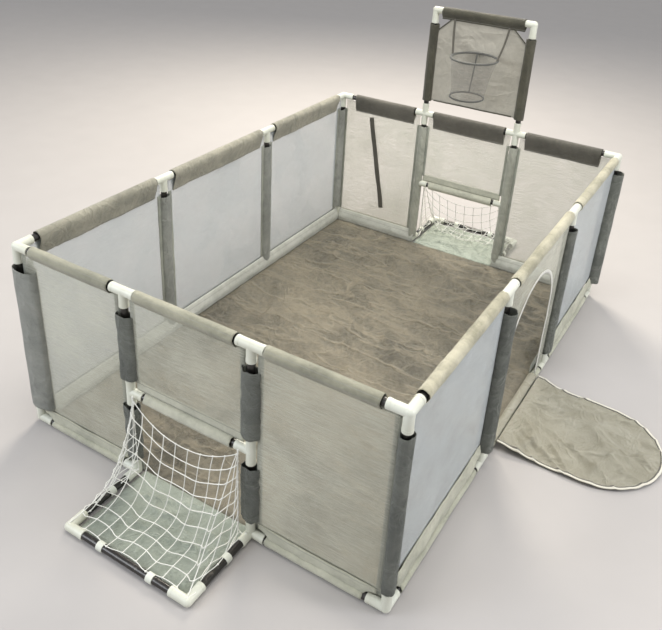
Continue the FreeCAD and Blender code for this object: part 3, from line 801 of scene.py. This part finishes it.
door_area = 2 * (post_y - post_wide) * (top_z - sleeve_r - sill_z) - (
    2 * arch_half * (arch_spring - sill_z) + math.pi * arch_half**2 / 2
)
door_cut = (2 * (post_y - post_wide), top_z - sleeve_r - sill_z)
sew(
    "door_mesh",
    [((100, 16), door_cut, door_lay)],
    mesh_grey,
    "grey_mesh",
    ["door_panel"],
    thick=mesh_thick,
    pattern=lambda point: (point.y, point.z),
    flat=door_cut,
    area=door_area,
)


def tape_cloth(name, plain, teeth):
    """Woven zip tape with a row of fine teeth along its inner edge."""
    finish = Finish(name, Sheen_Weight=0.2, Specular_IOR_Level=0.3)
    parts, across = finish.threads(finish.cut())
    row = across < 0.0042
    tooth = (parts / 0.0017).part() < 0.55
    rib = (parts * (2 * math.pi / 0.0012)).sine() * (across * (2 * math.pi / 0.0012)).sine()
    dirt = finish.cloud(finish.place(), 40.0, 4.0)
    colour = finish.blend(dirt * 0.4, plain, dye(190, 188, 176))
    colour = finish.blend(row * (tooth * 0.4 + 0.6), colour, teeth)
    finish.feed(Base_Color=colour, Roughness=0.7 - row * 0.3)
    finish.relief(rib * 0.2 + row * tooth + dirt * 0.2, 0.0009, 0.8)
    return finish.material


zip_white = tape_cloth("zip_white", dye(232, 230, 222), dye(206, 204, 196))


def arch_tape(u, v):
    run, rise = arch_point(u, -0.002 + door_tape_wide * v)
    return on_wall("right", run, rise, 0.0022 + 0.001 * lumps(run * 20, rise * 20, 5))


arch_length = 2 * (arch_spring - sill_z) + math.pi * arch_half
sew("door_zip_tape", [((130, 3), (arch_length, door_tape_wide), arch_tape)], zip_white,
    "grey_oxford", ["door_panel"])

steel = Finish("zip_steel", Metallic=1.0)
smear = steel.cloud(steel.place(), 700.0, 4.0)
steel.feed(Base_Color=steel.blend(smear, dye(190, 190, 186), dye(150, 150, 146)),
    Roughness=0.28 + smear * 0.2)
steel.relief(smear, 0.00006)
finish_parts(("zip_slider", "zip_pull"), steel.material)

# ----------------------
# Door flap: the cloth cut from the arch. It is sewn to the sill, drops to the floor and
# lies there in shallow folds, with the other half of the zip round its edge.
# ----------------------
flap_low, flap_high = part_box("door_flap")
flap_half = flap_high.y
flap_x = flap_low.x
flap_run = flap_high.x - flap_x
flap_tape_wide = 0.011


def flap_height(x, y):
    """Height of the flap over the floor: a drop at the sill, then folds and creases that
    fan out from it."""
    out = x - flap_x
    drop = (flap_high.z - 0.006) * math.exp(-((out / 0.060) ** 2))
    fan = math.atan2(y, out + 0.10)
    radiate = lumps(fan * 5.5, out * 1.6, 1.0)
    swell = lumps(x * 5 + y * 3, y * 6 - x * 2, 3.0)
    long = 1 - abs(lumps(fan * 5, out * 2.4, 6.0)) * 1.5
    crease = 1 - abs(lumps(x * 5 + y * 8, y * 5 - x * 4, 8.0)) * 1.4
    fine = 1 - abs(lumps(x * 15, y * 17, 9.0))
    past = max(0.0, out - (flap_run - flap_half))
    border = flap_half - math.hypot(past, y)
    free = min(1.0, out / 0.06) * (0.3 + 0.7 * min(1.0, max(0.0, border) / 0.05))
    folds = 0.007 * radiate + 0.007 * swell + 0.017 * long**7
    lift = 0.0055 + free * (folds + 0.014 * crease**9 + 0.003 * fine**6)
    return max(0.0022, drop + lift)


def flap_outline(share, inset=0.0):
    """Half-width and reach of the flap at a share of its run."""
    straight = flap_run - flap_half
    if share < 0.55:
        return flap_half - inset, share / 0.55 * straight
    angle = (share - 0.55) / 0.45 * math.pi / 2
    return (flap_half - inset) * math.cos(angle), straight + (flap_half - inset) * math.sin(angle)


def flap_point(x, y):
    wander = 0.0035 * lumps(x * 7, y * 7, 12.0)
    return Vector((x + wander, y + 0.8 * wander, flap_height(x, y)))


def flap_lay(u, v):
    half, out = flap_outline(u)
    return flap_point(flap_x + out, half * (2 * v - 1))


# Painted light: the flap cloth's colours are raised well above the cover's other cloths, standing
# in for the light that falls on it where it lies on the floor.
flap_cloth = woven("flap_cloth", dye(218, 210, 180), dye(252, 246, 222), mottle=0.7, sheen=0.2,
    rough=0.36, crumple=1.3, size=5.0, depth=0.034)


def sill_lay(u, v):
    """A fixed strip of the same cloth: from the pen's floor up over the rail to the hinge."""
    run = (2 * u - 1) * (flap_half - 0.002)
    wrap = lumps(run * 14, v * 2, 31.0)
    angle = math.radians(205 - 172 * v)
    reach = 0.0176 + 0.0012 * wrap
    x, z = side_x + reach * math.cos(angle), low_z + 0.0015 + reach * math.sin(angle)
    return Vector((x, run, z))


sill_cut = (2 * flap_half - 0.004, 0.0176 * math.radians(172))
sew("door_sill_strip", [((60, 10), sill_cut, sill_lay)], flap_cloth, "grey_oxford",
    ["door_panel"])
zip_turning = 0.006
cut_half = arch_half + zip_turning
flap_cut = (2 * cut_half, arch_spring - sill_z + cut_half)
flap_area = 2 * cut_half * (arch_spring - sill_z) + math.pi * cut_half**2 / 2
sew(
    "flap_sheet",
    [((120, 96), (flap_run, 2 * flap_half), flap_lay)],
    flap_cloth,
    "grey_oxford",
    ["door_flap"],
    held="laid",
    body="door_flap",
    pattern=lambda point: (point.x, point.y),
    flat=flap_cut,
    area=flap_area,
    rests_on=["studio_floor"],
)


def flap_tape(side):
    """Lays zip tape on the flap's edge, on one side of its middle."""

    def lay(u, v):
        half, out = flap_outline(u, flap_tape_wide * (1 - v))
        point = flap_point(flap_x + out, side * half)
        return point + UP * 0.0016

    return lay


zip_dark = tape_cloth("zip_dark", dye(226, 222, 208), dye(70, 66, 58))
edge_run = flap_run - flap_half + math.pi * flap_half / 2
edges = [((130, 3), (edge_run, flap_tape_wide), flap_tape(side)) for side in (-1, 1)]
sew("flap_zip_tape", edges, zip_dark, "grey_oxford", ["door_flap"], held="laid",
    body="door_flap", rests_on=["flap_sheet"])

# ----------------------
# Floor: a thin coated cloth sewn to the hems all round. It lies loose on the floor, so it
# is full of creases, and it runs on into the two goals.
# ----------------------


def creased(x, y, depth, seed):
    """Height of a thin coated cloth that lies loose: swells with sharp creases between."""
    bend = lumps(x * 1.9, y * 1.9, seed) * 0.35
    swell = lumps(x * 4.2 + bend, y * 3.1 - bend, seed + 2)
    long = 1 - abs(lumps(x * 3.2 + bend * 4, y * 6.4 + bend * 5, seed + 5)) * 1.3
    cross = 1 - abs(lumps(x * 8.5 - bend * 6, y * 5.2 + bend * 3, seed + 8)) * 1.2
    fine = 1 - abs(lumps(x * 21 + bend * 5, y * 18, seed + 11)) * 1.1
    return depth * (0.5 * swell + 1.0 * long**8 + 0.8 * cross**9 + 0.4 * fine**6)


def floor_cloth(x_low, x_high, y_low, y_high, depth, seed, cell):
    width, length = x_high - x_low, y_high - y_low

    def lay(u, v):
        x, y = x_low + u * width, y_low + v * length
        edge = min(x - x_low, x_high - x, y - y_low, y_high - y)
        free = min(1.0, edge / 0.05) ** 0.5
        return Vector((x, y, max(0.0016, 0.003 + creased(x, y, depth, seed) * free)))

    return (int(width / cell), int(length / cell)), (width, length), lay


# The mat's dark colour and wide, coarse mottle paint broad dark patches that stand partly for
# dirt and partly for painted shade among the creases.
mat_cloth = woven("mat_cloth", dye(110, 105, 87), dye(208, 195, 167), thread=0.0009, mottle=0.4,
    sheen=0.2, rough=0.34, crumple=1.25, size=5.0, depth=0.034, grain=(0.45, 1.7, 1), spread=2.4)
mat_low, mat_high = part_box("floor_mat")
floor_strip = floor_cloth(mat_low.x, mat_high.x, mat_low.y, mat_high.y, 0.012, 3.0, 0.0085)
sew("floor_cloth", [floor_strip], mat_cloth, "mat_cloth", ["floor_mat"], held="laid",
    rests_on=["studio_floor"])
goal_cloth = woven("goal_cloth", dye(140, 150, 136), dye(192, 200, 186), thread=0.0009,
    mottle=0.8, sheen=0.2, rough=0.42, crumple=1.0, size=11.0, depth=0.005)
for end in ("front", "back"):
    low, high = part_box(f"{end}_goal_floor")
    goal_strip = floor_cloth(low.x, high.x, low.y, high.y, 0.010, 17.0, 0.005)
    sew(f"{end}_goal_cloth", [goal_strip], goal_cloth, "mat_cloth", [f"{end}_goal_floor"],
        held="laid", rests_on=["studio_floor"])

# ----------------------
# Goal nets: white twisted cord, knotted into squares. Each net is tied to both ends of the
# crossbar and clipped to the floor tubes, and it hangs slack between them.
# ----------------------
cord = Finish("net_cord", Sheen_Weight=0.3, Specular_IOR_Level=0.3)
fuzz = cord.cloud(cord.place(), 900.0, 3.0)
grime = cord.cloud(cord.place(), 14.0, 3.0)
cord.feed(Base_Color=cord.blend(grime * 0.5, dye(240, 240, 234), dye(208, 206, 196)),
    Roughness=0.65 + fuzz * 0.2)
cord.relief(fuzz, 0.0004, 0.8)
net_side, net_front, net_rows = 4, 9, 9
net_steps, net_pulls = 220, 7
knot_r = 0.0031
cord_r = 0.0014


def net_start(column, row):
    """Where a knot hangs before the net settles, for the goal in the front wall."""
    wall_y = -end_y - 0.022
    foot_z, head_z = low_z + 0.013, bar_z - 0.010
    if column < net_side:
        share = column / net_side
        foot = Vector((-goal_x, wall_y + (-goal_y - wall_y) * share, foot_z))
        head = Vector((0.026 - goal_x, wall_y, head_z + 0.004 * (net_side - column)))
    elif column > net_side + net_front:
        share = (2 * net_side + net_front - column) / net_side
        foot = Vector((goal_x, wall_y + (-goal_y - wall_y) * share, foot_z))
        head = Vector((goal_x - 0.026, wall_y, head_z + 0.004 * (column - net_side - net_front)))
    else:
        share = (column - net_side) / net_front
        foot = Vector((goal_x * (2 * share - 1), -goal_y, foot_z))
        head = Vector(((goal_x - 0.030) * (2 * share - 1), wall_y, head_z))
    return foot.lerp(head, row / net_rows)


def settled_net():
    """Lets the knots sag from their ties under gravity until the cords between them hold
    them, each cord being a little longer than its straight span."""
    columns = 2 * net_side + net_front
    spots = {(c, r): net_start(c, r) for c in range(columns + 1) for r in range(net_rows + 1)}
    cords = []
    for column, row in spots:
        side = 0.12 if column < net_side else 0.34
        level = 0.012 if net_side <= column < net_side + net_front else side
        rise = 0.012 if column < 15 else 0.10
        for other, slack in (((column + 1, row), level), ((column, row + 1), rise)):
            if other in spots:
                loose = slack * (1 + 0.8 * lumps(column * 0.9, row * 0.9, slack * 9))
                span = (spots[column, row] - spots[other]).length
                cords.append(((column, row), other, span * (1 + loose) + 0.001))
    heads = {(c, net_rows) for c in range(columns + 1) if not net_side < c < net_side + net_front}
    tied = heads | {(c, 0) for c in (0, 2, 4, 7, 10, 13, 15, 17)}
    speeds = {key: Vector() for key in spots}
    pull = Vector((0, 0, -0.00035))
    for _ in range(net_steps):
        before = {key: spot.copy() for key, spot in spots.items()}
        for key, spot in spots.items():
            if key not in tied:
                spot += speeds[key] * 0.93 + pull
        for _ in range(net_pulls):
            for first, second, rest in cords:
                gap = spots[second] - spots[first]
                reach = gap.length
                if reach > rest:
                    move = gap * ((reach - rest) / reach)
                    share = 0.5 if first not in tied and second not in tied else 1.0
                    if first not in tied:
                        spots[first] += move * share
                    if second not in tied:
                        spots[second] -= move * share
        for key, spot in spots.items():
            spot.z = max(spot.z, 0.021)
            speeds[key] = spot - before[key]
    return spots


knot_places = settled_net()
for end, turn in (("front", 1), ("back", -1)):
    columns = 2 * net_side + net_front
    spots = {
        key: Vector((spot.x * turn, spot.y * turn, spot.z))
        for key, spot in knot_places.items()
    }
    across, up = range(columns + 1), range(net_rows + 1)
    lines = [[spots[column, row] for row in up] for column in across]
    lines += [[spots[column, row] for column in across] for row in up]
    netting = bpy.data.curves.new(f"{end}_net_cords", "CURVE")
    netting.dimensions = "3D"
    netting.bevel_depth = cord_r
    netting.bevel_resolution = 1
    netting.resolution_u = 3
    for line in lines:
        spline = netting.splines.new("BEZIER")
        spline.bezier_points.add(len(line) - 1)
        for point, spot in zip(spline.bezier_points, line):
            point.co = spot
            point.handle_left_type = point.handle_right_type = "AUTO"
    netting.materials.append(cord.material)
    net_parts = [placed(f"{end}_net_cords", netting)]
    knots = bmesh.new()
    for spot in spots.values():
        bmesh.ops.create_icosphere(knots, subdivisions=1, radius=knot_r,
            matrix=Matrix.Translation(spot))
    for face in knots.faces:
        face.smooth = True
    knot_mesh = bpy.data.meshes.new(f"{end}_net_knots")
    knots.to_mesh(knot_mesh)
    knots.free()
    knot_mesh.materials.append(cord.material)
    net_parts.append(placed(f"{end}_net_knots", knot_mesh))
    for piece in net_parts:
        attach(piece, "frame")
        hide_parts(f"{end}_goal_net")

# ----------------------
# Backboard screen: thin cloth pulled tight between dark sleeves on the uprights and the
# top tube, with drag lines from its corners and a bound free edge below.
# ----------------------
screen_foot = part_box("backboard_screen")[0].z
screen_dark = woven("screen_dark", dye(58, 56, 46), dye(90, 87, 72), seams=(0.006,), size=15.0,
    crumple=0.5)
screen_pale = woven("screen_pale", dye(158, 153, 142), dye(192, 187, 174), mottle=0.6, sheen=0.3,
    size=9.0, crumple=0.7)
half = goal_x - 0.033
strips = [pocket("back", -half, half, board_z, 0.032, 41.0)]
for sign in (-1, 1):
    place = Vector((sign * (goal_x - 0.001), end_y, 0))
    low, high = screen_foot - 0.004, board_z - corner_arm - 0.004
    strips.append(upright(place, SIDEWAYS, low, high, 0.0195, 0.0158, hanging, 21.0 + sign))
strips.append(flat_strip("back", -half, half, screen_foot - 0.001, screen_foot + 0.006, -0.0015,
    0.002, 5.0))


def slant_tape(sign):
    """Dark tape that binds a slanted top corner of the screen."""

    def lay(u, v):
        z = board_z - 0.084 + u * 0.058
        x = goal_x - 0.014 - max(0.0, z - (board_z - 0.082)) * 1.1 - v * 0.008
        return Vector((sign * x, end_y - 0.0025, z))

    return (14, 3), (0.084, 0.008), lay


strips += [slant_tape(-1), slant_tape(1)]
sew("screen_sleeves", strips, screen_dark, "dark_screen", ["backboard_screen"])


def screen_lay(u, v):
    """Pulls the screen toward its four corners; its top corners are cut off at a slant."""
    half_wide = goal_x - 0.014
    z = screen_foot + v * (board_z - 0.02 - screen_foot)
    slant = max(0.0, z - (board_z - 0.082)) * 1.1
    x = (2 * u - 1) * (half_wide - slant)
    pull = 0.0
    for corner_x, corner_v, gain in ((-1, 1, 1.0), (1, 1, 1.0), (-1, 0, 0.7), (1, 0, 0.8)):
        dx, dz = u - (corner_x + 1) / 2, (v - corner_v) * 1.1
        away = math.hypot(dx, dz) + 0.05
        ray = lumps(math.atan2(dz, dx) * 4.2, away, corner_x * 3 + corner_v)
        pull += gain * ray * math.exp(-away * 1.8)
    soft = lumps(x * 7, z * 5, 4.0)
    line = max(0.0, 1 - abs(lumps(x * 5 + z * 9, z * 16 - x * 4, 2.0)) * 3) ** 2
    held = math.sin(math.pi * u) ** 0.5 * min(1.0, 0.35 + v)
    out = (0.0075 * pull + 0.0035 * soft + 0.003 * line) * held
    return Vector((x, end_y - 0.0005 + out, z))


screen_cut = (2 * (goal_x - 0.014), board_z - 0.02 - screen_foot)
screen_area = screen_cut[0] * screen_cut[1] - 0.055 * 0.041
screen = [((72, 72), screen_cut, screen_lay)]
sew(
    "backboard_cloth",
    screen,
    screen_pale,
    "dark_screen",
    ["backboard_screen"],
    thick=0.0008,
    pattern=lambda point: (point.x, point.z),
    flat=screen_cut,
    area=screen_area,
)

# ----------------------
# Hoop: two wire rings bound in cloth, joined by a tube of thin netting with one dark seam,
# and hung from the top sleeve by two webbing straps.
# ----------------------
bound = woven("ring_binding", dye(78, 78, 74), dye(108, 108, 102), mottle=0.6)
def hoop_ring(node):
    """Centre, radius and wire radius of one of the hoop's rings."""
    low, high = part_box(node)
    wire = (high.z - low.z) / 2
    return (low + high) / 2, (high.x - low.x) / 2 - wire, wire


def ring_lay(centre, major, wire):
    """Lays cloth round a wire ring, bunched a little as it goes round."""

    def lay(u, v):
        turn, side = 2 * math.pi * u, 2 * math.pi * v
        bunch = lumps(math.cos(turn) * 3, math.sin(turn) * 3, side)
        wrap = 1 + 0.12 * math.sin(turn * 46 + side) + 0.18 * bunch
        reach = major + wire * wrap * math.cos(side)
        return centre + Vector((reach * math.cos(turn), reach * math.sin(turn),
            wire * wrap * math.sin(side)))

    return (180, 12), (2 * math.pi * major, 2 * math.pi * wire), lay


rim, rim_r, rim_wire = hoop_ring("hoop_ring")
foot, foot_r, foot_wire = hoop_ring("hoop_lower_ring")
drop = (rim - foot).length


def hoop_tube(first, last, out=0.0):
    """Lays netting between the two rings, over part of a turn."""

    def lay(u, v):
        turn = 2 * math.pi * (first + (last - first) * u)
        centre = foot.lerp(rim, v)
        reach = foot_r + (rim_r - foot_r) * v - 0.004 * math.sin(math.pi * v) + out
        reach += 0.003 * lumps(math.cos(turn) * 2.4, math.sin(turn) * 2.4, v * 2)
        return centre + Vector((reach * math.cos(turn), reach * math.sin(turn), 0))

    return lay


hoop_mesh = knitted("hoop_mesh", dye(170, 166, 158), dye(128, 124, 116), 0.03, 0.20)
sew("hoop_rim", [ring_lay(rim, rim_r, rim_wire)], bound, "hoop_trim", ["hoop_ring"], body="hoop")
seam = ((3, 24), (0.007, drop), hoop_tube(0.283, 0.294, -0.0015))
sew("hoop_foot", [ring_lay(foot, foot_r, foot_wire), seam], bound, "hoop_trim",
    ["hoop_lower_ring"], body="hoop")
netting_cut = (math.pi * (rim_r + foot_r), drop)
netting = [((96, 14), netting_cut, hoop_tube(0, 1))]
sew("hoop_netting", netting, hoop_mesh, "hoop_netting", ["hoop_net"], body="hoop",
    thick=mesh_thick)

webbing = woven("webbing", dye(70, 68, 60), dye(96, 92, 82), thread=0.0016, mottle=0.6)
strap_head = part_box("hoop_straps")[1]


def ribbon(path, wide, flat, seed):
    """Lays a strap along a path of shares, wide across a level direction."""

    def lay(u, v):
        point = path(u)
        curl = 0.0015 * lumps(u * 6, seed, v)
        return point + flat * ((v - 0.5) * wide) + Vector((0, curl, curl))

    return lay


hanger_wide, hanger_out = 0.011, 0.118
strips = []
for sign in (-1, 1):
    head = Vector((sign * hanger_out, strap_head.y - 0.002, strap_head.z - 0.002))
    tail = rim + Vector((sign * rim_r, 0, rim_wire * 0.6))

    def strap_path(u, head=head, tail=tail, sign=sign):
        bow = math.sin(math.pi * u)
        return head.lerp(tail, u) + Vector((sign * 0.003 * bow, 0.003 * bow, 0))

    length = (head - tail).length
    strips.append(((30, 4), (length, hanger_wide),
        ribbon(strap_path, hanger_wide, Vector((0.5, 0.86, 0)).normalized(), 3.0 + sign)))
sew("hoop_hangers", strips, webbing, "hoop_trim", ["hoop_straps"], body="hoop", thick=0.0014)

# ----------------------
# Hanging strap: one length of dark webbing. It is sewn under the back wall's top band, and
# its lower end hangs free inside the pen.
# ----------------------
hang_low, hang_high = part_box("hanging_strap")
hang_head = Vector((hang_low.x + 0.012, (hang_low.y + hang_high.y) / 2, hang_high.z - 0.002))
hang_tail = Vector((hang_high.x - 0.012, hang_head.y, hang_low.z + 0.002))


def hang_path(u):
    sway = 0.0025 * lumps(u * 3, 0, 7)
    return hang_head.lerp(hang_tail, u) + Vector((sway, sway, 0))


hang_length = (hang_head - hang_tail).length
hang_wide = 0.022
hang_lay = ribbon(hang_path, hang_wide, Vector((0.98, 0, 0.19)).normalized(), 8.0)
sew("back_wall_strap", [((60, 5), (hang_length, hang_wide), hang_lay)], webbing,
    "dark_webbing", ["hanging_strap"], held="hung", body="hanging_strap", thick=0.0016)

# ----------------------
# Camera and light: the pen is seen from above its front right corner, on a pale floor.
# Four soft lamps and a pale surround light it evenly, with weak shadows.
# ----------------------
eye = Vector((1.122, -2.177, 1.736))
right = Vector((0.8436, 0.5355, 0.0401)).normalized()
back = -Vector((-0.4599, 0.7590, -0.4609)).normalized()
upward = back.cross(right).normalized()
lens = bpy.data.cameras.new("camera")
camera = placed("camera", lens)
facing = Matrix((right, upward, back)).transposed().to_4x4()
camera.matrix_world = Matrix.Translation(eye) @ facing
lens.sensor_width = 36
lens.lens = 782.8 / 662 * 36
lens.shift_x = 0.027
lens.shift_y = -0.118
bpy.context.scene.camera = camera

paper = Finish("studio_floor", Specular_IOR_Level=0.2)
grain = paper.cloud(paper.place(), 6.0, 4.0)
paper.feed(Base_Color=paper.blend(grain, dye(176, 172, 170), dye(182, 178, 176)),
    Roughness=0.8 + grain * 0.1)
ground = bmesh.new()
bmesh.ops.create_grid(ground, x_segments=2, y_segments=2, size=12)
bmesh.ops.translate(ground, verts=ground.verts, vec=(0, 0, -0.0015))
ground_mesh = bpy.data.meshes.new("studio_floor")
ground.to_mesh(ground_mesh)
ground.free()
ground_mesh.materials.append(paper.material)
placed("studio_floor", ground_mesh)

world = bpy.data.worlds.new("studio")
world.use_nodes = True
world.node_tree.nodes["Background"].inputs["Color"].default_value = dye(236, 238, 240)
world.node_tree.nodes["Background"].inputs["Strength"].default_value = 0.80
bpy.context.scene.world = world
bpy.context.scene.view_settings.view_transform = "Standard"
bpy.context.scene.view_settings.exposure = -0.1
for name, place, size, power, tint in (
    ("window", (-1.5, 2.7, 3.1), 1.4, 175, dye(255, 246, 230)),
    ("ceiling", (0.6, -0.4, 4.2), 2.4, 100, dye(255, 252, 244)),
    ("fill", (-2.2, -3.4, 2.2), 2.0, 75, dye(240, 246, 255)),
    ("side", (3.6, 0.2, 1.9), 0.9, 60, dye(248, 250, 255)),
):
    lamp = bpy.data.lights.new(name, "AREA")
    lamp.size = size
    lamp.energy = power
    lamp.color = tint[:3]
    light = placed(name, lamp)
    light.location = place
    aim = Vector((0, 0, 0.3)) - Vector(place)
    light.rotation_euler = aim.to_track_quat("-Z", "Y").to_euler()
